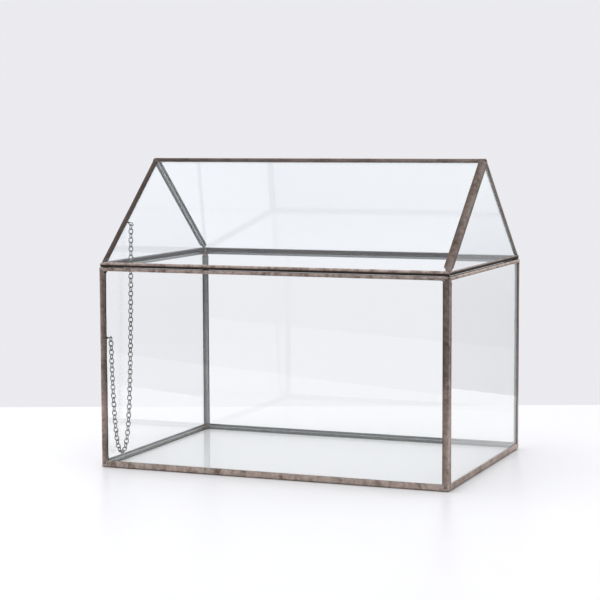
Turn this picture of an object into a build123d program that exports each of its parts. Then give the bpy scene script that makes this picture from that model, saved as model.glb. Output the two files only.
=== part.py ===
from build123d import *
import math
import os

# House-shaped glass card box: nine flat panes held by soldered metal seams, a hinged
# gable lid, and a limit chain inside the left end.  Millimetres.  X runs along the long
# side, the front is -Y, the hinges are at +Y, +Z is up, and the bottom rests on Z = 0.

# ---- overall sizes ----
LENGTH = 250.0            # case outside, along X
WIDTH = 170.0             # case outside, along Y
RIM_HEIGHT = 138.0        # top of the case's rim
TOTAL_HEIGHT = 211.0      # top of the ridge

# ---- panes and seams ----
GLASS = 2.0               # pane thickness
SOLDER = 0.5              # metal proud of each glass face
SEAM_LIP = 2.1            # metal over the glass, past a pane's edge, where two panes meet
RIM_LIP = 1.8             # metal over the glass on a free rim
RIM_COVER = 0.8           # metal outside a pane's free edge
PANE_SETBACK = 0.3        # from where two inner faces would meet to each pane's edge
FOIL_GAP = 0.05           # clearance between glass and metal
SEAM_ROUND = 1.6          # outer radius of a seam
FILLET_ROUND = 0.8        # inner radius of a seam
LIP_ROUND = 0.3           # radius of a seam's lips
OVERRUN = 8.0             # extra length that the mitres cut away

# ---- lid ----
LID_GAP = 0.3             # from the case's rim up to the closed lid
LID_INSET = 0.8           # lid's outline inside the case's outline

# ---- hinges: tube knuckles on the back edge, one hinge near each end ----
PIN_RADIUS = 0.75
PIN_CLEARANCE = 0.06      # radial, pin to knuckle
KNUCKLE_RADIUS = 1.5
KNUCKLE_OFFSET = 0.1      # from the case's back face to the knuckles
CASE_KNUCKLE = 5.5        # length of each of the two case knuckles
LID_KNUCKLE = 8.0         # length of the lid knuckle between them
KNUCKLE_GAP = 0.2         # end play between knuckles
PIN_PROUD = 0.4           # pin beyond each outer knuckle
HINGE_END = 3.0           # from the case's end face to the outer knuckle
WEB_HEIGHT = 1.5          # solder web from a knuckle to its rim
WEB_CLEAR = 0.35          # web kept back from the level of the hinge axis
WEB_BITE = 1.6            # web's reach in over the rim's rounded edge

# ---- limit chain ----
WIRE = 0.7                # link and eye wire diameter
LINK_LENGTH = 4.5         # outside
LINK_WIDTH = 3.6          # outside
LINK_PLAY = 0.05          # clearance where one link hangs in the next
CHAIN_INSET = 6.0         # from the case's left face to the chain's plane
POST_EYE_Y = 6.0          # from the case's front face back to the post eye's bar
POST_EYE_Z = 89.5         # height of the post eye's bar
LID_EYE_Y = 36.0          # from the case's front face back to the lid eye's bar
POST_EYE_SHIFT = -0.4     # post eye's middle from the chain's plane, along X
LID_EYE_SHIFT = 0.55      # lid eye's middle from the chain's plane, along X
EYE_WIDTH = 3.0           # along X, between wire centres
EYE_REACH = 2.6           # from the bar to the soldered side, between wire centres
EYE_ROUND = 0.8           # corner radius at the wire's centre
EYE_SEAT = 0.02           # from an eye's soldered side to the metal that carries it
CHAIN_DROP = 8.0          # about how high the chain's lowest link hangs
RUN_SPLITS = (1.7, 4.8, 8.0)     # from the chain's low point to each knee
LID_RUN = 134.0           # chain that hangs from the lid's eye as a run of its own

X = Vector(1, 0, 0)
Y = Vector(0, 1, 0)
Z = Vector(0, 0, 1)


# ---- derived sizes ----
RIM_ROUND = GLASS / 2 + SOLDER                 # a free rim's edge is fully rounded
PANE_EDGE = GLASS + PANE_SETBACK               # pane's edge from the corner line of a square seam
case_x = LENGTH / 2 - SOLDER                   # outer glass planes of the case
case_y = WIDTH / 2 - SOLDER
lid_x = LENGTH / 2 - LID_INSET - SOLDER        # outer glass planes of the gables
lid_base = RIM_HEIGHT + LID_GAP                # lowest metal of the closed lid
eave_y = WIDTH / 2 - LID_INSET - RIM_ROUND     # centre of the eave's rounded edge
eave_z = lid_base + RIM_ROUND


def roof_pitch():
    """Angle at which the rounded ridge reaches the total height."""
    rise = TOTAL_HEIGHT - eave_z - SEAM_ROUND
    offset = RIM_ROUND - SEAM_ROUND
    return math.acos(offset / math.hypot(eave_y, rise)) - math.atan2(eave_y, rise)


pitch = roof_pitch()
ridge_z = eave_z + eave_y * math.tan(pitch) + GLASS / 2 / math.cos(pitch)   # outer glass planes meet
roof_edge = GLASS * math.tan(pitch) + PANE_SETBACK                # pane's edge from the ridge line
slope_length = eave_y / math.cos(pitch) + GLASS / 2 * math.tan(pitch) + RIM_ROUND - RIM_COVER

hinge_y = WIDTH / 2 + KNUCKLE_OFFSET + KNUCKLE_RADIUS
hinge_z = RIM_HEIGHT + LID_GAP / 2
centre_y = (hinge_y + KNUCKLE_RADIUS - WIDTH / 2) / 2   # middle of the whole object, from the case's


def up_slope(side):
    """Direction up the roof, for the front roof (-1) or the back roof (1)."""
    return Vector(0, -side * math.cos(pitch), math.sin(pitch))


def roof_normal(side):
    """Outward normal of the front or back roof."""
    return Vector(0, side * math.sin(pitch), math.cos(pitch))


# ---- panes ----
def plate(origin, up, inward, outline, grow=0.0):
    """Flat pane: outline is in the outer face's plane, with up as its second direction."""
    face = make_face(Polyline(*outline, close=True))
    if grow:
        face = offset(face, amount=grow, kind=Kind.INTERSECTION)
    body = Pos(0, 0, -grow) * extrude(face, amount=GLASS + 2 * grow)
    return Plane(origin=origin, x_dir=up.cross(inward), z_dir=inward) * body


def box_outline(half, low, high):
    return [(-half, low), (half, low), (half, high), (-half, high)]


def pane_specs():
    """Each pane's outer plane, its up direction, its inward direction and its outline."""
    wall_low = SOLDER + PANE_EDGE
    wall_high = RIM_HEIGHT - RIM_COVER
    specs = {"case": {}, "lid": {}}
    for name, side in (("front", -1), ("back", 1)):
        specs["case"][f"pane_{name}"] = (
            Y * (side * case_y), Z, Y * -side,
            box_outline(case_x - PANE_EDGE, wall_low, wall_high))
        specs["lid"][f"pane_roof_{name}"] = (
            Z * ridge_z, up_slope(side), roof_normal(side) * -1,
            box_outline(lid_x - PANE_EDGE, -slope_length, -roof_edge))
    apex = ridge_z - PANE_EDGE / math.cos(pitch)
    foot = lid_base + RIM_COVER
    spread = (apex - foot) / math.tan(pitch)
    for name, side in (("left", -1), ("right", 1)):
        specs["case"][f"pane_{name}"] = (
            X * (side * case_x), Z, X * -side,
            box_outline(case_y - PANE_EDGE, wall_low, wall_high))
        specs["lid"][f"pane_gable_{name}"] = (
            X * (side * lid_x), Z, X * -side,
            [(-spread, foot), (spread, foot), (0, apex)])
    half_depth = case_y - PANE_EDGE
    specs["case"]["pane_floor"] = (
        Z * SOLDER, Y, Z,
        box_outline(case_x - PANE_EDGE, -half_depth, half_depth))
    return specs


# ---- seams ----
def corner_profile(angle):
    """Angle-shaped section over two panes' edges; the corner line is at the origin."""
    half = angle / 2
    reach = GLASS / math.tan(half) + PANE_SETBACK + SEAM_LIP
    second = Vector(math.cos(angle), math.sin(angle))
    inward = Vector(math.sin(angle), -math.cos(angle))
    bisector = Vector(math.cos(half), math.sin(half))
    inner = GLASS + SOLDER
    tip = bisector * (-SOLDER / math.sin(half))
    root = bisector * (inner / math.sin(half))
    points = [
        Vector(reach, -SOLDER),
        Vector(reach, inner),
        root,
        second * reach + inward * inner,
        second * reach - inward * SOLDER,
        tip,
    ]
    face = make_face(Polyline(*points, close=True))
    for point, radius in ((tip, SEAM_ROUND), (root, FILLET_ROUND)):
        corner = face.vertices().sort_by_distance(point)[0]
        face = fillet(corner, radius)
    for point in (points[0], points[1], points[3], points[4]):
        corner = face.vertices().sort_by_distance(point)[0]
        face = fillet(corner, LIP_ROUND)
    return face


def rim_profile():
    """Round-edged section over one pane's free edge; the edge is at x = 0."""
    centre = RIM_ROUND - RIM_COVER
    middle = GLASS / 2
    bar = Pos((centre + RIM_LIP) / 2, middle) * Rectangle(RIM_LIP - centre, 2 * RIM_ROUND)
    face = Pos(centre, middle) * Circle(RIM_ROUND) + bar
    lips = face.vertices().group_by(Axis.X)[-1]
    return fillet(lips, LIP_ROUND)


def keep_side(body, point, normal):
    """The part of a body on the side of a plane that its normal points to."""
    return body.split(Plane(origin=point, z_dir=normal), keep=Keep.TOP)


def mitred(face, start, end, x_dir, ends, glass):
    """Section swept from start to end, mitred at both corners and cleared for the panes.

    Each entry of ends is a corner, and the directions of the other seams that leave it.
    """
    along = (end - start).normalized()
    base = Plane(origin=start - along * OVERRUN, x_dir=x_dir, z_dir=along)
    body = base * extrude(face, amount=(end - start).length + 2 * OVERRUN)
    for own, (corner, others) in zip((along, along * -1), ends):
        for other in others:
            body = keep_side(body, corner, own - other)
    for pane in glass:
        body = body - pane
    return body


def corner_seam(start, end, arm_a, arm_b, ends, glass):
    """Seam where two panes meet; the arms run from the corner line along the panes."""
    along = (end - start).normalized()
    first = arm_a if along.cross(arm_a).dot(arm_b) > 0 else arm_b
    angle = math.radians(arm_a.get_angle(arm_b))
    return mitred(corner_profile(angle), start, end, first, ends, glass)


def rim_seam(start, end, into, inward, ends, glass):
    """Seam on a pane's free edge; into runs from the edge along the pane."""
    if into.cross(inward).dot(end - start) < 0:
        start, end = end, start
        ends = ends[::-1]
    return mitred(rim_profile(), start, end, into, ends, glass)


def case_seams(glass):
    """Four posts, four bottom seams and four top rims."""
    seams = {}
    ends_x = (("left", -1), ("right", 1))
    ends_y = (("front", -1), ("back", 1))
    rim = RIM_HEIGHT - RIM_COVER

    def low(sx, sy):
        return Vector(sx * case_x, sy * case_y, SOLDER)

    def high(sx, sy):
        return Vector(sx * case_x, sy * case_y, RIM_HEIGHT)

    for x_name, sx in ends_x:
        for y_name, sy in ends_y:
            inward = [X * -sx, Y * -sy]
            post = corner_seam(low(sx, sy), high(sx, sy), *inward,
                               [(low(sx, sy), inward), (high(sx, sy), inward)], glass)
            seams[f"post_{y_name}_{x_name}"] = keep_side(post, Z * RIM_HEIGHT, Z * -1)
    for y_name, sy in ends_y:
        into = Y * -sy
        seams[f"bottom_seam_{y_name}"] = corner_seam(
            low(-1, sy), low(1, sy), Z, into,
            [(low(-1, sy), [Z, into]), (low(1, sy), [Z, into])], glass)
        seams[f"rim_{y_name}"] = rim_seam(
            Vector(-case_x, sy * case_y, rim), Vector(case_x, sy * case_y, rim), Z * -1, into,
            [(high(-1, sy), [Z * -1, into]), (high(1, sy), [Z * -1, into])], glass)
    for x_name, sx in ends_x:
        into = X * -sx
        seams[f"bottom_seam_{x_name}"] = corner_seam(
            low(sx, -1), low(sx, 1), Z, into,
            [(low(sx, -1), [Z, into]), (low(sx, 1), [Z, into])], glass)
        seams[f"rim_{x_name}"] = rim_seam(
            Vector(sx * case_x, -case_y, rim), Vector(sx * case_x, case_y, rim), Z * -1, into,
            [(high(sx, -1), [Z * -1, into]), (high(sx, 1), [Z * -1, into])], glass)
    return seams


def lid_seams(glass):
    """Ridge, four rakes, two eaves and two gable feet."""
    seams = {}

    def foot(sx, sy):
        return Vector(sx * lid_x, sy * eave_y, eave_z)

    def peak(sx):
        return Vector(sx * lid_x, 0, ridge_z)

    down = {side: up_slope(side) * -1 for side in (-1, 1)}
    seams["ridge_seam"] = corner_seam(
        peak(-1), peak(1), down[-1], down[1],
        [(peak(-1), list(down.values())), (peak(1), list(down.values()))], glass)
    for y_name, sy in (("front", -1), ("back", 1)):
        low_edge = peak(0) + down[sy] * slope_length
        span = X * lid_x
        others = [up_slope(sy), Y * -sy]
        eave = rim_seam(
            low_edge - span, low_edge + span, up_slope(sy), roof_normal(sy) * -1,
            [(foot(-1, sy), others), (foot(1, sy), others)], glass)
        for sx in (-1, 1):
            eave = keep_side(eave, X * (sx * (lid_x + SOLDER)), X * -sx)
        seams[f"eave_{y_name}"] = eave
    for x_name, sx in (("left", -1), ("right", 1)):
        into = X * -sx
        edge = lid_base + RIM_COVER
        seams[f"gable_foot_{x_name}"] = rim_seam(
            Vector(sx * lid_x, -eave_y, edge), Vector(sx * lid_x, eave_y, edge), Z, into,
            [(foot(sx, -1), [up_slope(-1), into]), (foot(sx, 1), [up_slope(1), into])], glass)
        for y_name, sy in (("front", -1), ("back", 1)):
            low_end = peak(sx) + down[sy] * slope_length
            rake = corner_seam(
                low_end, peak(sx), into, roof_normal(sy) * -1,
                [(foot(sx, sy), [into, Y * -sy]), (peak(sx), [into, down[-sy]])], glass)
            seams[f"rake_{y_name}_{x_name}"] = keep_side(rake, Z * TOTAL_HEIGHT, Z * -1)
    return seams


# ---- hinges ----
def rod(x_from, x_to, radius, y=hinge_y, z=hinge_z):
    """Round bar along X."""
    return Plane(origin=(x_from, y, z), z_dir=X) * extrude(Circle(radius), amount=x_to - x_from)


def knuckle(x_from, x_to, level, rim):
    """Tube round the hinge axis, with a solder web to a rim below (-1) or above (1) the axis."""
    web_front = WIDTH / 2 - WEB_BITE
    web = Pos((x_from + x_to) / 2,
              (web_front + hinge_y) / 2,
              hinge_z + level * (WEB_CLEAR + WEB_HEIGHT / 2)) * Box(
        x_to - x_from, hinge_y - web_front, WEB_HEIGHT)
    body = rod(x_from, x_to, KNUCKLE_RADIUS) + web
    body = body - rod(x_from, x_to, PIN_RADIUS + PIN_CLEARANCE) - rim
    return body.solids().sort_by(Axis.Y)[-1]


def hinge(side, case_rim, lid_rim):
    """Case knuckles, lid knuckle and pin of the hinge at one end."""
    step = CASE_KNUCKLE + KNUCKLE_GAP
    total = 2 * step + LID_KNUCKLE
    start = -LENGTH / 2 + HINGE_END if side < 0 else LENGTH / 2 - HINGE_END - total
    near = knuckle(start, start + CASE_KNUCKLE, -1, case_rim)
    far = knuckle(start + total - CASE_KNUCKLE, start + total, -1, case_rim)
    lid = knuckle(start + step, start + step + LID_KNUCKLE, 1, lid_rim)
    pin = rod(start - PIN_PROUD, start + total + PIN_PROUD, PIN_RADIUS)
    return Compound(children=[near, far]), lid, pin


# ---- chain ----
def wire_loop(outline):
    """Round wire bent to a closed outline in the XY plane."""
    path = outline.wire()
    start = Plane(origin=path @ 0, z_dir=path % 0)
    return sweep(start * Circle(WIRE / 2), path=path).solids()[0]


def eye(bar, shift, back, seat):
    """Closed wire eye: its bar runs along X, and its soldered side lies back by seat."""
    outline = RectangleRounded(EYE_WIDTH, seat, EYE_ROUND)
    middle = bar + X * shift + back * (seat / 2)
    return Plane(origin=middle, x_dir=X, z_dir=X.cross(back)) * wire_loop(outline)


chain_x = -LENGTH / 2 + CHAIN_INSET
across_pitch = LINK_LENGTH - WIRE                         # pivots at the ends of a link across X
flat_pitch = LINK_LENGTH - 3 * WIRE - 2 * LINK_PLAY       # pivots held inside a link in the YZ plane
post_bar = Vector(chain_x, -WIDTH / 2 + POST_EYE_Y, POST_EYE_Z)


def lid_eye_place():
    """Bar of the eye that hangs under the front roof's left rake."""
    y = -WIDTH / 2 + LID_EYE_Y
    outer = roof_normal(-1)
    under_seam = ridge_z + y * math.tan(pitch) - (GLASS + SOLDER) / math.cos(pitch)
    depth = EYE_REACH + WIRE / 2 + EYE_SEAT
    return Vector(chain_x, y, under_seam) - outer * depth


lid_bar = lid_eye_place()


def hanging_chain():
    """Bar lengths, and the points between them, of the chain hanging from the post to the lid."""
    span = lid_bar.Y - post_bar.Y
    drop = (post_bar.Z - CHAIN_DROP) + (lid_bar.Z - CHAIN_DROP)
    pairs = round((drop + span / 4 - flat_pitch) / (across_pitch + flat_pitch))
    bars = [flat_pitch] + [across_pitch, flat_pitch] * pairs
    middles = [sum(bars[:i]) + bars[i] / 2 for i in range(len(bars))]

    def ends_at(low, log_scale):
        scale = math.exp(log_scale)
        angles = [math.atan2(m - low, scale) for m in middles]
        y = post_bar.Y + sum(b * math.cos(a) for b, a in zip(bars, angles))
        z = post_bar.Z + sum(b * math.sin(a) for b, a in zip(bars, angles))
        return y - lid_bar.Y, z - lid_bar.Z, angles

    low = (sum(bars) + post_bar.Z - lid_bar.Z) / 2
    log_scale = math.log(span / 8)
    step = 1e-5
    for _ in range(60):
        y0, z0, _ = ends_at(low, log_scale)
        y1, z1, _ = ends_at(low + step, log_scale)
        y2, z2, _ = ends_at(low, log_scale + step)
        a, b = (y1 - y0) / step, (y2 - y0) / step
        c, d = (z1 - z0) / step, (z2 - z0) / step
        det = a * d - b * c
        low -= (d * y0 - b * z0) / det
        log_scale -= max(-0.3, min(0.3, (a * z0 - c * y0) / det))
    angles = ends_at(low, log_scale)[2]
    points = [post_bar]
    for length, angle in zip(bars, angles):
        points.append(points[-1] + Vector(0, math.cos(angle), math.sin(angle)) * length)
    return bars, points, low


def nearest(values, target):
    """Index of the value nearest to the target."""
    return min(range(len(values)), key=lambda i: abs(values[i] - target))


def chain_runs():
    """Rigid runs of links, each with its links' solids and its two end pivots."""
    bars, points, low = hanging_chain()
    reach = [sum(bars[:i]) for i in range(len(bars) + 1)]
    knees = {0, len(bars)}
    for split in RUN_SPLITS:
        for target in (low - split, low + split):
            knees.add(nearest(reach, target))
    knees.add(nearest(reach, reach[-1] - LID_RUN))
    knees = sorted(knees)
    link = wire_loop(SlotOverall(LINK_LENGTH - WIRE, LINK_WIDTH - WIRE))
    runs = []
    for first, last in zip(knees, knees[1:]):
        links = []
        for i in range(first, last):
            along = (points[i + 1] - points[i]).normalized()
            normal = X if i % 2 == 0 else X.cross(along)
            middle = (points[i] + points[i + 1]) * 0.5
            links.append(Plane(origin=middle, x_dir=along, z_dir=normal) * link)
        runs.append((links, points[first], points[last]))
    return runs


def chain_motion(runs):
    """Lid's opening limit, and each run's joint turn while the lid opens that far, in degrees.

    The last run hangs from the lid; every other run hangs from the one before it.
    """
    def polar(point):
        return math.atan2(point.Z - hinge_z, hinge_y - point.Y)

    def radius(point):
        return math.hypot(point.Z - hinge_z, hinge_y - point.Y)

    chords = [end - start for _, start, end in runs]
    taut = sum(chord.length for chord in chords)
    near, far = radius(post_bar), radius(lid_bar)
    spread = math.acos((near ** 2 + far ** 2 - taut ** 2) / (2 * near * far))
    opening = spread - (polar(lid_bar) - polar(post_bar))
    angle = polar(lid_bar) + opening
    open_bar = Vector(0, hinge_y - far * math.cos(angle), hinge_z + far * math.sin(angle))
    line = math.atan2(open_bar.Z - post_bar.Z, open_bar.Y - post_bar.Y)
    swings = [line - math.atan2(chord.Z, chord.Y) for chord in chords]
    parents = [0.0] + swings[:-2] + [-opening]
    turns = [math.degrees(swing - parent) for swing, parent in zip(swings, parents)]
    return math.degrees(opening), turns


# ---- assembly ----
def main():
    specs = pane_specs()
    pieces = {}
    seams = {}
    for body, maker in (("case", case_seams), ("lid", lid_seams)):
        panes = specs[body].items()
        pieces.update({name: plate(*spec) for name, spec in panes})
        cleared = [plate(*spec, grow=FOIL_GAP) for _, spec in panes]
        seams.update(maker(cleared))
    pieces.update(seams)
    for name, side in (("left", -1), ("right", 1)):
        case_tubes, lid_tube, pin = hinge(side, seams["rim_back"], seams["eave_back"])
        pieces[f"hinge_{name}_case_knuckles"] = case_tubes
        pieces[f"hinge_{name}_lid_knuckle"] = lid_tube
        pieces[f"hinge_{name}_pin"] = pin
    post_seat = POST_EYE_Y - GLASS - 2 * SOLDER - WIRE / 2 - EYE_SEAT
    pieces["chain_eye_post"] = eye(post_bar, POST_EYE_SHIFT, Y * -1, post_seat)
    pieces["chain_eye_lid"] = eye(lid_bar, LID_EYE_SHIFT, roof_normal(-1), EYE_REACH)
    runs = chain_runs()
    for number, (links, _, _) in enumerate(runs, 1):
        pieces[f"chain_run_{number:02d}"] = Compound(children=links)

    os.makedirs("parts", exist_ok=True)
    for name, piece in pieces.items():
        export_step(Pos(0, -centre_y, 0) * piece, f"parts/{name}.step")

    opening, turns = chain_motion(runs)
    print(f"roof pitch {math.degrees(pitch):.2f} deg, lid opens {opening:.3f} deg")
    print(f"hinge axis y {hinge_y - centre_y:.3f} z {hinge_z:.3f}")
    pivots = [start for _, start, _ in runs[:-1]] + [runs[-1][2]]
    for number, (pivot, turn) in enumerate(zip(pivots, turns), 1):
        print(f"chain run {number:02d} pivot {pivot.X:.4f} {pivot.Y - centre_y:.4f} {pivot.Z:.4f}"
              f" turn {turn:.4f} ratio {turn / opening:.6f}")


main()
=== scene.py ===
"""Finishes for a house-shaped glass card box: solder seams, clear panes, hinges and chain."""

import math

import bmesh
import bpy
from mathutils import Matrix, Vector, noise


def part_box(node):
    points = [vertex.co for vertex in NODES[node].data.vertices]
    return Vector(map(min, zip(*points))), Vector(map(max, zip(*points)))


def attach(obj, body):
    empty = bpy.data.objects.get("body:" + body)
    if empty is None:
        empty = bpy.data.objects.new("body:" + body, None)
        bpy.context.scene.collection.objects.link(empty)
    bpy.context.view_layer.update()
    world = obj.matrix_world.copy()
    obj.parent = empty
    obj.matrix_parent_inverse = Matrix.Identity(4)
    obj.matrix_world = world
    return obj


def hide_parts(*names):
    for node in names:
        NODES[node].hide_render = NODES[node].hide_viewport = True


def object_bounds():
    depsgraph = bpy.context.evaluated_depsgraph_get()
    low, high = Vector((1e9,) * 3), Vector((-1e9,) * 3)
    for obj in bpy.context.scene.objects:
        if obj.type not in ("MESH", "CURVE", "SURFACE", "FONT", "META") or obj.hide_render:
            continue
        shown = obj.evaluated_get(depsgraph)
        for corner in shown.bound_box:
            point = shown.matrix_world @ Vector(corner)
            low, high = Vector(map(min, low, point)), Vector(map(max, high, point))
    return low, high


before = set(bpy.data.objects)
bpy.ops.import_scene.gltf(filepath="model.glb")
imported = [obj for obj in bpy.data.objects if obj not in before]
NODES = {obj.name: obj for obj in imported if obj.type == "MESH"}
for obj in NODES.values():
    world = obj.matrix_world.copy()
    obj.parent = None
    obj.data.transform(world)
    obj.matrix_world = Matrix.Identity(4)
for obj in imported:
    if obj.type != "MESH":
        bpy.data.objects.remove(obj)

bl_info = {
    "name": "Glass Card Box Finishes",
    "version": (1, 0, 0),
    "blender": (4, 5, 0),
    "location": "3D View > Sidebar > Card Box",
    "description": "Solder seams, panes, hinges, chain and a plain studio for a glass card box",
    "category": "Object",
}

CAD_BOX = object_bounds()
LOW, HIGH = CAD_BOX

CAMERA_PLACE = (0.46302, -1.18053, 0.23157)
CAMERA_YAW, CAMERA_PITCH, CAMERA_ROLL = 21.9081, -5.3937, -0.2381

RIM_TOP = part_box("rim_front")[1].z
LID_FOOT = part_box("eave_front")[0].z
LID_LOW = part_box("gable_foot_left")[0]
LID_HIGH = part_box("gable_foot_right")[1]

CASE_BOTTOM_SEAMS = (
    "bottom_seam_front", "bottom_seam_back", "bottom_seam_left", "bottom_seam_right",
)
CASE_POSTS = ("post_front_left", "post_front_right", "post_back_left", "post_back_right")
CASE_RIMS = ("rim_front", "rim_back", "rim_left", "rim_right")
LID_CORNER_SEAMS = (
    "ridge_seam", "rake_front_left", "rake_front_right", "rake_back_left", "rake_back_right",
)
LID_RIMS = ("eave_front", "eave_back", "gable_foot_left", "gable_foot_right")

END_KEEP = 0.004       # solder at each end of a seam that stays even
END_FADE = 0.006       # beyond that, where the ripple grows to its full depth
BROAD_LUMPS = 75.0     # lumps per metre in the ripple
FINE_LUMPS = 210.0
LIP_LUMPS = 120.0      # wavers per metre along a lip
LIP_SHIFT = Vector((7.1, 3.3, 5.7))    # keeps the lips' noise apart from the ripple's
LEFT_PAINTED_SHADE = 0.88      # how dark the painted shade on the ridge and rakes is at the left end
PAINTED_SHADE_LOSS = 0.45      # how much of that is gone at the right end
SMOOTH_ANGLE = 38.0    # edges sharper than this many degrees stay sharp


# ---- shader maths ----
class Signal:
    """An output of a shader node, which Python's operators add Math nodes to."""

    def __init__(self, tree, socket=None):
        self.tree = tree
        self.socket = socket

    def add(self, kind, settings=None, sockets=None, out=0):
        """Adds a node: its settings first, then its sockets' values or links."""
        node = self.tree.nodes.new("ShaderNode" + kind)
        for name, value in (settings or {}).items():
            setattr(node, name, value)
        for name, value in (sockets or {}).items():
            if isinstance(value, Signal):
                self.tree.links.new(value.socket, node.inputs[name])
            else:
                node.inputs[name].default_value = value
        return Signal(self.tree, node.outputs[out])

    def calculate(self, operation, first, second):
        return self.add("Math", {"operation": operation}, {0: first, 1: second})

    def __add__(self, other):
        return self.calculate("ADD", self, other)

    __radd__ = __add__

    def __sub__(self, other):
        return self.calculate("SUBTRACT", self, other)

    def __rsub__(self, other):
        return self.calculate("SUBTRACT", other, self)

    def __mul__(self, other):
        return self.calculate("MULTIPLY", self, other)

    __rmul__ = __mul__

    def between(self, low, high):
        """0 below low, 1 above high, and a smooth step between."""
        return self.add("MapRange", {"interpolation_type": "SMOOTHSTEP"},
                        {"Value": self, "From Min": low, "From Max": high})

    def place(self):
        return self.add("TexCoord", out="Object")

    def clouds(self, scale, detail=3.0, roughness=0.55, stretch=(1.0, 1.0, 1.0)):
        """Noise from 0 to 1 in the object's own coordinates; scale is in lumps per metre."""
        where = self.add("Mapping", {}, {"Vector": self.place(), "Scale": stretch})
        return self.add("TexNoise", {}, {"Vector": where, "Scale": scale, "Detail": detail,
                                         "Roughness": roughness})

    def blend(self, start, end):
        """A colour from start to end by this value."""
        return self.add("Mix", {"data_type": "RGBA"}, {0: self, 6: start, 7: end}, out=2)

    def bump(self, strength, distance):
        return self.add("Bump", {}, {"Height": self, "Strength": strength, "Distance": distance})


def new_material(name):
    """An empty node material and the signal that its nodes start from."""
    material = bpy.data.materials.new(name)
    material.use_nodes = True
    material.node_tree.nodes.clear()
    return material, Signal(material.node_tree)


def close_material(material, surface):
    output = material.node_tree.nodes.new("ShaderNodeOutputMaterial")
    material.node_tree.links.new(surface.socket, output.inputs["Surface"])
    return material


def rgba(colour):
    return (*colour, 1.0)


def patina_solder(name, colours, shine=1.0):
    """Brown patina over tinned solder: worn, with a painted highlight, on its crowns, rims and
    bottom seams; painted black shade at the lid's gap and on the lid's ridge and rakes; tin
    inside.

    A seam's mesh says where, in its wear_and_highlight, painted_shade and inner attributes.
    """
    material, start = new_material(name)
    broad = start.clouds(38.0, 3.0)
    grain = start.clouds(420.0, 5.0, 0.65)
    specks = start.clouds(1300.0, 2.0)
    streaks = start.clouds(150.0, 4.0, 0.6, (1.0, 1.0, 0.3))
    browned = (broad * 0.65 + grain * 0.35).between(0.36, 0.64)
    colour = browned.blend(rgba(colours.dark_patina), rgba(colours.warm_patina))
    wear_and_highlight = start.add("Attribute", {"attribute_name": "wear_and_highlight"}, out="Fac")
    inner = start.add("Attribute", {"attribute_name": "inner"}, out="Fac")
    painted_shade = start.add("Attribute", {"attribute_name": "painted_shade"}, out="Fac")
    # worn solder and painted highlight: near a seam's outer corner, over the rims and eaves and
    # over the bottom seams
    rubbed_and_highlight = wear_and_highlight * (grain * 0.4 + streaks * 0.6).between(0.34, 0.60) * 0.75
    colour = rubbed_and_highlight.blend(colour, rgba(colours.worn_tin_and_highlight))
    stained = (specks * 0.4 + streaks * 0.6).between(0.56, 0.72) * (1.0 - inner * 0.8) * 0.7
    tinned = inner * (1.0 - (broad * 0.5 + grain * 0.5).between(0.52, 0.74) * 0.35)
    colour = tinned.blend(colour, rgba(colours.inner_tin))
    colour = stained.blend(colour, rgba(colours.black_stain_and_shade))
    # painted shade: near black at the lid's gap on rims and eaves, and on the ridge's and rakes'
    # outer faces darkest at the left end; rough and not metallic there
    colour = (painted_shade * 0.92).blend(colour, rgba(colours.black_stain_and_shade))
    roughness = (0.15 + grain * 0.14 - rubbed_and_highlight * 0.04 + stained * 0.15) * shine
    roughness = painted_shade * 0.7 + roughness * (1.0 - painted_shade)
    height = broad * 0.5 + grain * 0.35 + specks * 0.15
    surface = start.add("BsdfPrincipled", {}, {
        "Base Color": colour, "Metallic": 0.96 - painted_shade * 0.96, "Roughness": roughness,
        "Specular IOR Level": 0.2, "Specular Tint": (0.86, 0.80, 0.76, 1.0),
        "Normal": height.bump(0.22, 0.0003),
    })
    return close_material(material, surface)


def clear_glass(name, tint, smudge, ior=1.5):
    """Thin float glass: a faint tint, and the slight waves and film of handled panes.

    Light that only casts shadows goes straight through, so the panes leave none.
    """
    material, start = new_material(name)
    waves = start.clouds(9.0, 1.0)
    film = start.clouds(38.0, 4.0, 0.6).between(0.52, 0.80)
    glass = start.add("BsdfPrincipled", {}, {
        "Base Color": rgba(tint), "Transmission Weight": 1.0, "IOR": ior,
        "Roughness": film * smudge, "Normal": waves.bump(0.02, 0.002),
    })
    through = start.add("BsdfTransparent", {}, {"Color": (1.0, 1.0, 1.0, 1.0)})
    shadow = start.add("LightPath", out="Is Shadow Ray")
    surface = start.add("MixShader", {}, {0: shadow, 1: glass, 2: through})
    return close_material(material, surface)


def chain_steel(name, bright, tarnish):
    """Dull plated wire, darker and rougher in blotches of tarnish."""
    material, start = new_material(name)
    dull = start.clouds(260.0, 4.0, 0.6).between(0.38, 0.66)
    scratches = start.clouds(2600.0, 3.0, 0.6, (1.0, 1.0, 0.3))
    colour = dull.blend(rgba(bright), rgba(tarnish))
    surface = start.add("BsdfPrincipled", {}, {
        "Base Color": colour, "Metallic": 1.0, "Roughness": 0.26 + dull * 0.2,
        "Normal": scratches.bump(0.2, 0.0001),
    })
    return close_material(material, surface)


def stage_paint(name, colour, roughness):
    """A plain pale painted surface with the faintest unevenness."""
    material, start = new_material(name)
    uneven = start.clouds(6.0, 2.0)
    shade = uneven.blend(rgba([c * 0.985 for c in colour]), rgba(colour))
    surface = start.add("BsdfPrincipled", {}, {
        "Base Color": shade, "Roughness": roughness + uneven * 0.05,
        "Specular IOR Level": 0.35,
    })
    return close_material(material, surface)


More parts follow.
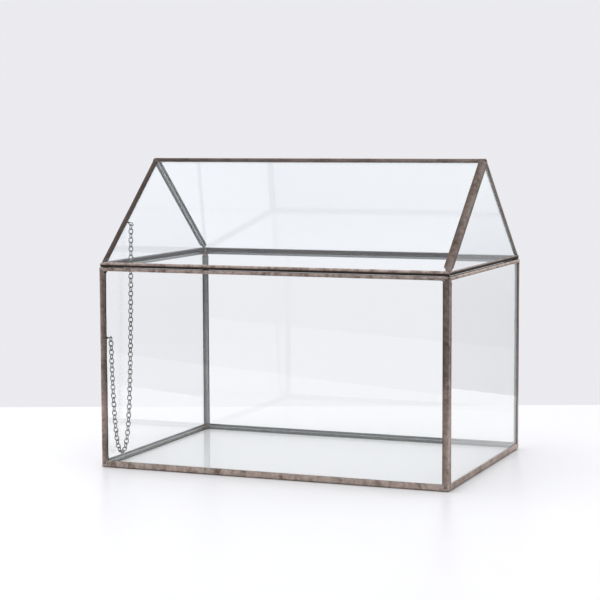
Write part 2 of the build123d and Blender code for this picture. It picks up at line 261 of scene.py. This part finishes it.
def studio_world(name, pale, yaw):
    """A pale surround; what shines in the metal is a wall ahead, a dimmer room and a ceiling.

    Every strength below is a share of the surround's own brightness.
    """
    world = bpy.data.worlds.new(name)
    world.use_nodes = True
    world.node_tree.nodes.clear()
    start = Signal(world.node_tree)
    toward = start.add("TexCoord", out="Generated")

    def facing(direction):
        return toward.add("VectorMath", {"operation": "DOT_PRODUCT"},
                          {0: toward, 1: direction}, out="Value")

    ahead = facing((-math.sin(yaw), math.cos(yaw), 0.0))
    right = facing((math.cos(yaw), math.sin(yaw), 0.0))
    up = facing((0.0, 0.0, 1.0))
    wall = ahead.between(-0.05, 0.40)
    window = (right * -1.0).between(0.30, 0.85)
    above = up.between(0.10, 0.45)
    overhead = up.between(0.80, 0.95)
    not_below = up.between(-0.10, -0.01)

    level_wall, level_room, level_window = 1.12, 0.45, 0.40
    high_wall, high_room, high_window, ceiling = 1.25, 0.35, 0.30, 0.85
    high_gain = 0.12
    underside = 0.60
    through_panes = 1.13
    level = wall * level_wall + (1.0 - wall) * (level_room + window * level_window)
    high = (wall * (1.0 - overhead) * high_wall + overhead * ceiling
            + (1.0 - wall) * (high_room + window * high_window))
    shine = level * (1.0 - above) + (high + high_gain) * above
    shine = shine * (not_below * (1.0 - underside) + underside)
    through = start.add("LightPath", out="Is Transmission Ray")
    bounces = start.add("LightPath", out="Glossy Depth")
    strength = start.add("Mix", {"data_type": "FLOAT", "clamp_factor": True}, {
        0: bounces, 2: 1.0 + through * (through_panes - 1.0), 3: shine})
    background = start.add("Background", {}, {"Color": rgba(pale), "Strength": strength})
    output = world.node_tree.nodes.new("ShaderNodeOutputWorld")
    world.node_tree.links.new(background.socket, output.inputs["Surface"])
    return world


# ---- mesh helpers ----
def finished_piece(name, bm, material, body, replaced=()):
    """Makes an object of the bmesh, smooth except at its sharp edges, riding on a body."""
    bmesh.ops.recalc_face_normals(bm, faces=bm.faces)
    mesh = bpy.data.meshes.new(name)
    bm.to_mesh(mesh)
    bm.free()
    if "custom_normal" in mesh.attributes:
        mesh.attributes.remove(mesh.attributes["custom_normal"])
    mesh.shade_smooth()
    mesh.set_sharp_from_angle(angle=math.radians(SMOOTH_ANGLE))
    mesh.materials.clear()
    mesh.materials.append(material)
    piece = bpy.data.objects.new(name, mesh)
    bpy.context.scene.collection.objects.link(piece)
    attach(piece, body)
    if replaced:
        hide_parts(*replaced)
    return piece


def bead_mesh(node, spacing):
    """A merged copy of a seam, cut across every few millimetres, and its length's direction."""
    bm = bmesh.new()
    bm.from_mesh(NODES[node].data)
    bmesh.ops.remove_doubles(bm, verts=bm.verts, dist=2e-6)
    bmesh.ops.dissolve_limit(bm, angle_limit=math.radians(0.6), verts=bm.verts, edges=bm.edges)
    longest = max(bm.edges, key=lambda edge: edge.calc_length())
    along = (longest.verts[1].co - longest.verts[0].co).normalized()
    reach = [v.co.dot(along) for v in bm.verts]
    start, end = min(reach), max(reach)
    cuts = round((end - start) / spacing)
    for i in range(1, cuts):
        place = start + (end - start) * i / cuts
        everything = bm.verts[:] + bm.edges[:] + bm.faces[:]
        bmesh.ops.bisect_plane(bm, geom=everything, dist=1e-7, plane_co=along * place,
                               plane_no=along)
    return bm, along, start, end


def outer_edge(bm, along):
    """A point on the line where the seam's two outer faces would meet."""
    middle = (LOW + HIGH) / 2
    middle.z = RIM_TOP * 0.5 + HIGH.z * 0.1
    mean = sum((v.co for v in bm.verts), Vector()) / len(bm.verts)
    away = mean - middle
    away -= along * away.dot(along)
    away.normalize()
    return max((v.co for v in bm.verts), key=lambda co: co.dot(away)).copy(), away


def share(value):
    """A value held between 0 and 1."""
    return min(1.0, max(0.0, value))


def ripple(bm, along, start, end, settings, body, corner_seam, trim, least_painted_reflection):
    """Sinks the metal by a little that varies along the bead, and makes its lips waver.

    trim narrows the lips, and least_painted_reflection is the least painted reflection on the
    bead.
    Near its outer corner the bead is worn, with a painted highlight. The lid's ridge and rakes
    get painted shade, less to the right. On a free rim the metal at the lid's gap gets painted
    black shade and the rest a painted highlight, and the lid's solder reaches down to just above
    the case's.
    """
    wear_and_highlight = bm.verts.layers.float.new("wear_and_highlight")
    inner = bm.verts.layers.float.new("inner")
    painted_shade = bm.verts.layers.float.new("painted_shade")
    edge, away = outer_edge(bm, along)
    bm.normal_update()
    moves = []
    for v in bm.verts:
        reach = v.co.dot(along)
        fade = share((min(reach - start, end - reach) - END_KEEP) / END_FADE)
        lumps = noise.noise(v.co * BROAD_LUMPS) * 0.6 + noise.noise(v.co * FINE_LUMPS) * 0.4
        sink = settings.least_sink + settings.ripple * fade * (0.5 + 0.5 * lumps)
        move = v.normal * -sink
        off = v.co - edge
        off -= along * off.dot(along)
        # worn patina and painted highlight near the outer corner; on the bottom seams at least
        # the painted reflection of the bright table
        v[wear_and_highlight] = max(share(1.0 - off.length / settings.worn_and_highlight_width), least_painted_reflection)
        v[inner] = share(0.5 - v.normal.dot(away) * 1.6)
        if corner_seam:
            if body == "lid":
                across = (v.co.x - LOW.x) / (HIGH.x - LOW.x)
                # painted shade on the ridge's and rakes' outer faces, darkest at the left end
                v[painted_shade] = (1.0 - v[inner]) * (LEFT_PAINTED_SHADE - PAINTED_SHADE_LOSS * across)
            if off.length > settings.lip_from:
                waver = 0.5 + 0.5 * noise.noise(v.co * LIP_LUMPS + LIP_SHIFT)
                move -= off.normalized() * (trim + settings.lip_waver * fade * waver)
        else:
            above = (v.co.z - LID_FOOT) / settings.gap_shade_height
            below = (RIM_TOP - v.co.z) / settings.rim_gap_shade
            at_gap = above < 1.0 and below < 1.0
            # painted black shade at the lid's gap, and a painted highlight over the rest of the
            # rim
            v[painted_shade] = 1.0 if at_gap else 0.0
            v[wear_and_highlight] = 0.0 if at_gap else 1.0
            if at_gap:
                move.z = 0.0
            if body == "lid":
                height = (v.co.z - LID_FOOT) / settings.settle_height
                move.z -= settings.settle * max(0.0, 1.0 - height)
        moves.append((v, move))
    for v, move in moves:
        v.co += move


def solder_drop(bm, centre, size, low, high):
    """Adds a closed, slightly uneven drop of solder to bm, held inside a box."""
    made = bmesh.ops.create_icosphere(bm, subdivisions=4, radius=1.0)["verts"]
    for v in made:
        swell = 1.0 + 0.10 * noise.noise(v.co * 1.6 + centre * 700.0)
        spread = [c + d * s * swell for c, d, s in zip(centre, v.co, size)]
        v.co = Vector([min(max(c, a), b) for c, a, b in zip(spread, low, high)])


# ---- settings ----
class SolderSettings(bpy.types.PropertyGroup):
    """Sizes and colours of the soldered seams."""

    cut_spacing: bpy.props.FloatProperty(
        name="Cut spacing", description="Distance between the cuts across a bead",
        default=0.003, unit="LENGTH")
    ripple: bpy.props.FloatProperty(
        name="Ripple", description="Most that a bead's surface sinks along its length",
        default=0.00013, precision=5, unit="LENGTH")
    least_sink: bpy.props.FloatProperty(
        name="Least sink", description="Least that a bead's surface sinks",
        default=0.00002, precision=5, unit="LENGTH")
    lip_waver: bpy.props.FloatProperty(
        name="Lip waver", description="Most that a foil's edge wavers on the glass",
        default=0.00035, precision=5, unit="LENGTH")
    lip_from: bpy.props.FloatProperty(
        name="Lip start", description="Distance from the corner at which a lip begins",
        default=0.0045, precision=5, unit="LENGTH")
    # Width of the worn patina and painted highlight along a seam's outer corner
    worn_and_highlight_width: bpy.props.FloatProperty(
        name="Crown width", description="How far from the corner the patina is worn",
        default=0.0026, precision=5, unit="LENGTH")
    bottom_trim: bpy.props.FloatProperty(
        name="Bottom trim", description="How much narrower the bottom seams' lips are",
        default=0.0012, precision=5, unit="LENGTH")
    # The least painted reflection of the bright table on the bottom seams
    bottom_painted_reflection: bpy.props.FloatProperty(
        name="Bottom wear", description="How worn the bottom seams' patina is at the least",
        default=0.8, subtype="FACTOR")
    lid_trim: bpy.props.FloatProperty(
        name="Lid trim", description="How much narrower the ridge's and rakes' lips are",
        default=0.0009, precision=5, unit="LENGTH")
    settle: bpy.props.FloatProperty(
        name="Settle", description="How far the lid's lowest solder hangs into its gap",
        default=0.00022, precision=5, unit="LENGTH")
    settle_height: bpy.props.FloatProperty(
        name="Settle height", description="Height of the solder that hangs into the gap",
        default=0.0015, precision=5, unit="LENGTH")
    # Height of the painted black shade above the lid's gap
    gap_shade_height: bpy.props.FloatProperty(
        name="Crevice height", description="Height of the black metal above the lid's gap",
        default=0.0016, precision=5, unit="LENGTH")
    # Height of the painted black shade below the lid's gap
    rim_gap_shade: bpy.props.FloatProperty(
        name="Rim crevice", description="Height of the black metal below the lid's gap",
        default=0.00025, precision=5, unit="LENGTH")
    corner_drop: bpy.props.FloatProperty(
        name="Corner drop", description="Half the width of the solder at a corner",
        default=0.0027, precision=5, unit="LENGTH")
    dark_patina: bpy.props.FloatVectorProperty(
        name="Dark patina", description="Colour of most of the patina", subtype="COLOR",
        default=(0.125, 0.088, 0.072))
    warm_patina: bpy.props.FloatVectorProperty(
        name="Warm patina", description="Coppery brown of thinner patina", subtype="COLOR",
        default=(0.265, 0.195, 0.160))
    # Colour of the black stains, also used as the painted shade at the lid's gap and on the
    # ridge and rakes
    black_stain_and_shade: bpy.props.FloatVectorProperty(
        name="Black patina", description="Nearly black stains", subtype="COLOR",
        default=(0.022, 0.015, 0.012))
    # Colour of worn solder, also used as the painted highlight on the rims, eaves and bottom
    # seams
    worn_tin_and_highlight: bpy.props.FloatVectorProperty(
        name="Worn solder", description="Solder that shows where patina is rubbed off",
        subtype="COLOR", default=(0.72, 0.60, 0.53))
    inner_tin: bpy.props.FloatVectorProperty(
        name="Inner solder", description="Tinned seams inside the box", subtype="COLOR",
        default=(0.36, 0.385, 0.38))


class GlassSettings(bpy.types.PropertyGroup):
    """Tint and smudges of the panes."""

    case_tint: bpy.props.FloatVectorProperty(
        name="Case tint", description="Colour of the light through a case pane",
        subtype="COLOR", default=(0.990, 0.997, 0.993))
    lid_tint: bpy.props.FloatVectorProperty(
        name="Lid tint", description="Colour of the light through a lid pane",
        subtype="COLOR", default=(0.975, 0.992, 0.995))
    floor_ior: bpy.props.FloatProperty(
        name="Floor IOR", description="Low, so that the table shows clearly through the floor",
        default=1.05)
    smudge: bpy.props.FloatProperty(
        name="Smudge", description="Most roughness in the film on the glass",
        default=0.015, subtype="FACTOR")


class ChainSettings(bpy.types.PropertyGroup):
    """Colours of the limit chain and its eyes."""

    bright: bpy.props.FloatVectorProperty(
        name="Plating", description="Colour of the clean wire", subtype="COLOR",
        default=(0.36, 0.35, 0.335))
    tarnish: bpy.props.FloatVectorProperty(
        name="Tarnish", description="Colour of the tarnished wire", subtype="COLOR",
        default=(0.15, 0.14, 0.13))


class StageSettings(bpy.types.PropertyGroup):
    """The plain studio round the box."""

    surround: bpy.props.FloatVectorProperty(
        name="Surround", description="Colour of the pale backdrop", subtype="COLOR",
        default=(0.83, 0.83, 0.865))
    table: bpy.props.FloatVectorProperty(
        name="Table", description="Colour of the table top", subtype="COLOR",
        default=(0.90, 0.90, 0.905))
    table_back: bpy.props.FloatProperty(
        name="Table back", description="Distance from the box to the table's far edge",
        default=0.255, unit="LENGTH")
    table_front: bpy.props.FloatProperty(
        name="Table front", description="Distance from the box to the table's near edge",
        default=0.47, unit="LENGTH")
    overhead: bpy.props.FloatProperty(
        name="Overhead power", description="Power of the soft light above the box",
        default=7.0, unit="POWER")
    side: bpy.props.FloatProperty(
        name="Side power", description="Power of the soft light to the left of the box",
        default=5.0, unit="POWER")
    lens: bpy.props.FloatProperty(
        name="Lens", description="Focal length of the camera in millimetres",
        default=108.887)


# ---- operators ----
class CARDBOX_OT_panes(bpy.types.Operator):
    """Give the nine panes their clear glass"""

    bl_idname = "card_box.panes"
    bl_label = "Finish Panes"

    def execute(self, context):
        settings = context.scene.card_box_glass
        case_glass = clear_glass("clear case glass", settings.case_tint, settings.smudge)
        lid_glass = clear_glass("clear lid glass", settings.lid_tint, settings.smudge)
        floor_glass = clear_glass("clear floor glass", settings.case_tint, settings.smudge,
                                  settings.floor_ior)
        for name, node in NODES.items():
            if name == "pane_floor":
                node.material_slots[0].material = floor_glass
            elif name.startswith(("pane_roof", "pane_gable")):
                node.material_slots[0].material = lid_glass
            elif name.startswith("pane"):
                node.material_slots[0].material = case_glass
        return {"FINISHED"}


class CARDBOX_OT_seams(bpy.types.Operator):
    """Build the soldered seams along every edge of the glass"""

    bl_idname = "card_box.seams"
    bl_label = "Build Solder Seams"

    def execute(self, context):
        settings = context.scene.card_box_solder
        material = patina_solder("dark patina solder", settings)
        groups = (
            # the bottom seams get a painted reflection of the bright table
            (CASE_BOTTOM_SEAMS, "case", True, settings.bottom_trim, settings.bottom_painted_reflection),
            (CASE_POSTS, "case", True, 0.0, 0.0),
            (CASE_RIMS, "case", False, 0.0, 0.0),
            (LID_CORNER_SEAMS, "lid", True, settings.lid_trim, 0.0),
            (LID_RIMS, "lid", False, 0.0, 0.0),
        )
        for names, body, corner_seam, trim, least_painted_reflection in groups:
            for name in names:
                bm, along, start, end = bead_mesh(name, settings.cut_spacing)
                ripple(bm, along, start, end, settings, body, corner_seam, trim, least_painted_reflection)
                finished_piece(f"solder_{name}", bm, material, body, [name])
        return {"FINISHED"}


class CARDBOX_OT_corner_solder(bpy.types.Operator):
    """Build the drops of solder where the seams meet"""

    bl_idname = "card_box.corner_solder"
    bl_label = "Build Corner Solder"

    def execute(self, context):
        settings = context.scene.card_box_solder
        drop = settings.corner_drop
        case_size, rim_depth = 1.04, 0.85                       # all in shares of the drop
        foot_x, foot_y, foot_z, foot_size = 0.7, 0.8, 0.55, 0.72
        top_size = 0.95
        material = patina_solder("bright corner solder", settings, 0.75)
        size = Vector((drop, drop, drop))
        case_high = Vector((HIGH.x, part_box("post_back_left")[1].y, RIM_TOP))
        bm = bmesh.new()
        for x in (LOW.x + drop, HIGH.x - drop):
            for y in (LOW.y + drop, case_high.y - drop):
                for z in (LOW.z + drop, RIM_TOP - drop * rim_depth):
                    solder_drop(bm, Vector((x, y, z)), size * case_size, LOW, case_high)
        finished_piece("corner_solder_case", bm, material, "case")
        lid_low = Vector((LID_LOW.x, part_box("eave_front")[0].y, LID_FOOT))
        lid_high = Vector((LID_HIGH.x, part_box("eave_back")[1].y, HIGH.z))
        bm = bmesh.new()
        for x in (LID_LOW.x + drop * foot_x, LID_HIGH.x - drop * foot_x):
            for y in (lid_low.y + drop * foot_y, lid_high.y - drop * foot_y):
                foot = Vector((x, y, LID_FOOT + drop * foot_z))
                solder_drop(bm, foot, size * foot_size, lid_low, lid_high)
            top = Vector((x, (lid_low.y + lid_high.y) / 2, HIGH.z - drop * top_size))
            solder_drop(bm, top, size * top_size, lid_low, lid_high)
        finished_piece("corner_solder_lid", bm, material, "lid")
        return {"FINISHED"}


class CARDBOX_OT_hinges(bpy.types.Operator):
    """Give the two hinges their dark brass"""

    bl_idname = "card_box.hinges"
    bl_label = "Finish Hinges"

    def execute(self, context):
        material = patina_solder("dark hinge brass", context.scene.card_box_solder, 0.85)
        for name, node in NODES.items():
            if name.startswith("hinge"):
                node.material_slots[0].material = material
        return {"FINISHED"}


class CARDBOX_OT_chain(bpy.types.Operator):
    """Finish the limit chain and solder its two eyes on"""

    bl_idname = "card_box.chain"
    bl_label = "Finish Chain"

    def execute(self, context):
        settings = context.scene.card_box_chain
        steel = chain_steel("dull chain steel", settings.bright, settings.tarnish)
        for name, node in NODES.items():
            if name.startswith("chain"):
                node.material_slots[0].material = steel
        solder = patina_solder("eye solder", context.scene.card_box_solder, 0.75)
        post_in, post_size = (0.0006, 0.0003), (0.0010, 0.00065, 0.00085)
        lid_in, lid_size = (0.0005, 0.0003, 0.0003), (0.0009, 0.0007, 0.0006)
        low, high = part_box("chain_eye_post")
        bm = bmesh.new()
        place = Vector((low.x + post_in[0], low.y + post_in[1], (low.z + high.z) / 2))
        solder_drop(bm, place, post_size, LOW, HIGH)
        finished_piece("eye_solder_post", bm, solder, "case")
        low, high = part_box("chain_eye_lid")
        bm = bmesh.new()
        place = Vector((low.x + lid_in[0], low.y + lid_in[1], high.z - lid_in[2]))
        solder_drop(bm, place, lid_size, LOW, HIGH)
        finished_piece("eye_solder_lid", bm, solder, "lid")
        return {"FINISHED"}


class CARDBOX_OT_stage(bpy.types.Operator):
    """Set up the table, the pale surround, the soft lights and the camera"""

    bl_idname = "card_box.stage"
    bl_label = "Build Stage"

    def execute(self, context):
        settings = context.scene.card_box_stage
        scene = context.scene
        yaw = math.radians(CAMERA_YAW)
        front, back = -settings.table_front, settings.table_back
        width, thick, edge_round = 2.4, 0.06, 0.018
        bm = bmesh.new()
        bmesh.ops.create_cube(bm, size=1.0)
        bmesh.ops.scale(bm, vec=(width, back - front, thick), verts=bm.verts)
        bmesh.ops.translate(bm, verts=bm.verts, vec=(0.0, (back + front) / 2, -thick / 2))
        bmesh.ops.bevel(bm, geom=bm.edges[:], offset=edge_round, segments=8, profile=0.5,
                        affect="EDGES", material=-1)
        bmesh.ops.rotate(bm, verts=bm.verts, cent=(0.0, 0.0, 0.0),
                         matrix=Matrix.Rotation(yaw, 3, "Z"))
        mesh = bpy.data.meshes.new("table")
        bm.to_mesh(mesh)
        bm.free()
        mesh.shade_smooth()
        mesh.materials.append(stage_paint("white table", settings.table, 0.32))
        table = bpy.data.objects.new("table", mesh)
        scene.collection.objects.link(table)

        scene.world = studio_world("pale surround", settings.surround, yaw)
        scene.view_settings.view_transform = "Standard"
        self.soft_light("overhead", (-0.1, -0.1, 1.5), (0.9, 0.9), settings.overhead)
        self.soft_light("left side", (-1.5, -0.3, 1.0), (0.8, 1.0), settings.side)

        camera_data = bpy.data.cameras.new("camera")
        camera_data.lens = settings.lens
        camera_data.sensor_width = 36.0
        camera_data.clip_start, camera_data.clip_end = 0.05, 30.0
        camera = bpy.data.objects.new("camera", camera_data)
        scene.collection.objects.link(camera)
        camera.matrix_world = self.camera_place(
            Vector(CAMERA_PLACE), CAMERA_YAW, CAMERA_PITCH, CAMERA_ROLL)
        scene.camera = camera
        return {"FINISHED"}

    @staticmethod
    def soft_light(name, place, size, power):
        """An area light on the box, hidden from reflections and from sight through the panes."""
        light = bpy.data.lights.new(name, "AREA")
        light.shape = "RECTANGLE"
        light.size, light.size_y = size
        light.energy = power
        lamp = bpy.data.objects.new(name, light)
        lamp.visible_glossy = False
        lamp.visible_transmission = False
        bpy.context.scene.collection.objects.link(lamp)
        middle_of_box = Vector((0.0, 0.0, 0.1))
        aim = middle_of_box - Vector(place)
        turn = aim.to_track_quat("-Z", "Y").to_matrix().to_4x4()
        lamp.matrix_world = Matrix.Translation(place) @ turn

    @staticmethod
    def camera_place(place, yaw, pitch, roll):
        """The camera's matrix; yaw, pitch and roll are in degrees."""
        yaw, pitch, roll = (math.radians(a) for a in (yaw, pitch, roll))
        ahead = Vector((-math.sin(yaw) * math.cos(pitch), math.cos(yaw) * math.cos(pitch),
                        math.sin(pitch)))
        level = Vector((math.cos(yaw), math.sin(yaw), 0.0))
        up = level.cross(ahead)
        right = level * math.cos(roll) + up * math.sin(roll)
        top = up * math.cos(roll) - level * math.sin(roll)
        turn = Matrix((right, top, -ahead)).transposed().to_4x4()
        return Matrix.Translation(place) @ turn


class CARDBOX_PT_sidebar(bpy.types.Panel):
    """Everything that makes the card box's looks"""

    bl_idname = "CARDBOX_PT_sidebar"
    bl_label = "Card Box"
    bl_space_type = "VIEW_3D"
    bl_region_type = "UI"
    bl_category = "Card Box"

    def draw(self, context):
        for steps, settings in PANEL_ROWS:
            box = self.layout.box()
            for step in steps:
                box.operator(step.bl_idname)
            group = getattr(context.scene, settings)
            for name in group.bl_rna.properties.keys():
                if name not in ("rna_type", "name"):
                    box.prop(group, name)


SETTINGS = {
    "card_box_solder": SolderSettings,
    "card_box_glass": GlassSettings,
    "card_box_chain": ChainSettings,
    "card_box_stage": StageSettings,
}
PANEL_ROWS = (
    ((CARDBOX_OT_panes,), "card_box_glass"),
    ((CARDBOX_OT_seams, CARDBOX_OT_corner_solder, CARDBOX_OT_hinges), "card_box_solder"),
    ((CARDBOX_OT_chain,), "card_box_chain"),
    ((CARDBOX_OT_stage,), "card_box_stage"),
)
CLASSES = (
    *SETTINGS.values(), CARDBOX_OT_panes, CARDBOX_OT_seams, CARDBOX_OT_corner_solder,
    CARDBOX_OT_hinges, CARDBOX_OT_chain, CARDBOX_OT_stage, CARDBOX_PT_sidebar,
)


def register():
    for made in CLASSES:
        bpy.utils.register_class(made)
    for name, settings in SETTINGS.items():
        setattr(bpy.types.Scene, name, bpy.props.PointerProperty(type=settings))


def unregister():
    for name in SETTINGS:
        delattr(bpy.types.Scene, name)
    for made in reversed(CLASSES):
        bpy.utils.unregister_class(made)


def main():
    register()
    bpy.ops.card_box.stage()
    bpy.ops.card_box.panes()
    bpy.ops.card_box.seams()
    bpy.ops.card_box.corner_solder()
    bpy.ops.card_box.hinges()
    bpy.ops.card_box.chain()


if __name__ == "__main__":
    main()
